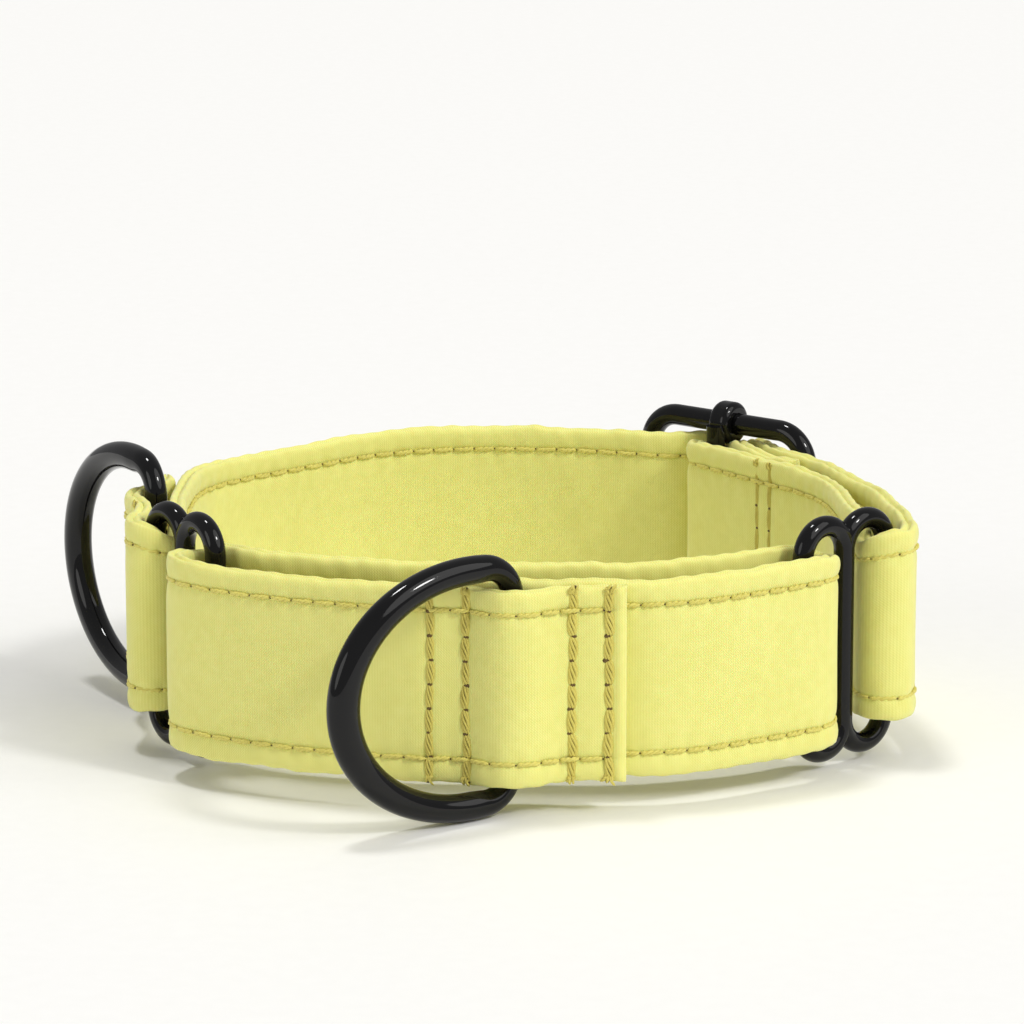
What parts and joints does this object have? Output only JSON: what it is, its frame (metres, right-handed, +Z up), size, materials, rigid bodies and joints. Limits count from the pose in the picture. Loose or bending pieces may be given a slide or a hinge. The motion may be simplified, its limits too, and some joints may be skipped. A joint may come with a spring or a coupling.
{
  "type": "martingale dog collar",
  "caption": "Martingale dog collar: fabric-covered neck strap with slider and tag ring, joined by double-loop connectors to a stitched control loop with a D-ring.",
  "frame": {"origin": "under the middle of the collar's overall box, on the surface it stands on", "axes": "+Z up along the straps' width, +X to the right as seen from the control loop, +Y from the control loop to the back of the neck strap"},
  "size_m": [0.1128, 0.1052, 0.0357],
  "materials": {
    "cover_fabric": "matte plain weave cotton",
    "webbing": "flat woven webbing",
    "edge_thread": "twisted sewing thread",
    "row_thread": "heavy twisted sewing thread",
    "black_metal": "glossy black"
  },
  "bodies": {
    "neck_strap": {"neck_strap_cover": "cover_fabric", "neck_strap_webbing": "webbing", "neck_strap_lower_needle_thread": "edge_thread", "neck_strap_lower_bobbin_thread": "edge_thread", "neck_strap_upper_needle_thread": "edge_thread", "neck_strap_upper_bobbin_thread": "edge_thread", "neck_strap_row_1": "row_thread", "neck_strap_row_2": "row_thread", "neck_strap_row_3": "row_thread", "neck_strap_row_4": "row_thread", "slider_bar": "black_metal"},
    "slider_frame": {"slider_frame": "black_metal"},
    "side_ring": {"side_ring": "black_metal"},
    "left_connector": {"left_connector": "black_metal"},
    "control_loop": {"control_loop_cover": "cover_fabric", "control_loop_webbing": "webbing", "control_loop_lower_needle_thread": "edge_thread", "control_loop_lower_bobbin_thread": "edge_thread", "control_loop_upper_needle_thread": "edge_thread", "control_loop_upper_bobbin_thread": "edge_thread", "control_loop_row_1": "row_thread", "control_loop_row_2": "row_thread", "control_loop_row_3": "row_thread", "control_loop_row_4": "row_thread"},
    "front_ring": {"front_ring": "black_metal"},
    "right_connector": {"right_connector": "black_metal"}
  },
  "joints": [
    {"name": "front_ring_swing", "type": "hinge", "parent": "control_loop", "child": "front_ring", "pos_m": [0.00435, -0.0363, 0.0168], "axis": [0, 0, 1], "range_deg": [-25, 130]},
    {"name": "side_ring_swing", "type": "hinge", "parent": "neck_strap", "child": "side_ring", "pos_m": [-0.04235, 0.0092, 0.0189], "axis": [0, 0, 1], "range_deg": [-19, 120]},
    {"name": "slider_frame_slide", "type": "slide", "parent": "neck_strap", "child": "slider_frame", "axis": [0.788, -0.6157, 0], "range_m": [-0.0008, 0.003]},
    {"name": "left_connector_turn", "type": "hinge", "parent": "neck_strap", "child": "left_connector", "pos_m": [-0.04165, -0.0049, 0.0169], "axis": [0, 0, 1], "range_deg": [-8, 8]},
    {"name": "control_loop_turn", "type": "hinge", "parent": "left_connector", "child": "control_loop", "pos_m": [-0.03326, -0.0171, 0.0169], "axis": [0, 0, 1], "range_deg": [-10.31, 10.31]},
    {"name": "right_connector_turn", "type": "hinge", "parent": "neck_strap", "child": "right_connector", "pos_m": [0.05213, -0.00883, 0.0169], "axis": [0, 0, 1], "range_deg": [-9.49, 9.49]}
  ],
  "couplings": [
    {"joint": "control_loop_turn", "follows": "left_connector_turn", "ratio": -1.2877},
    {"joint": "right_connector_turn", "follows": "left_connector_turn", "ratio": 1.1853}
  ]
}
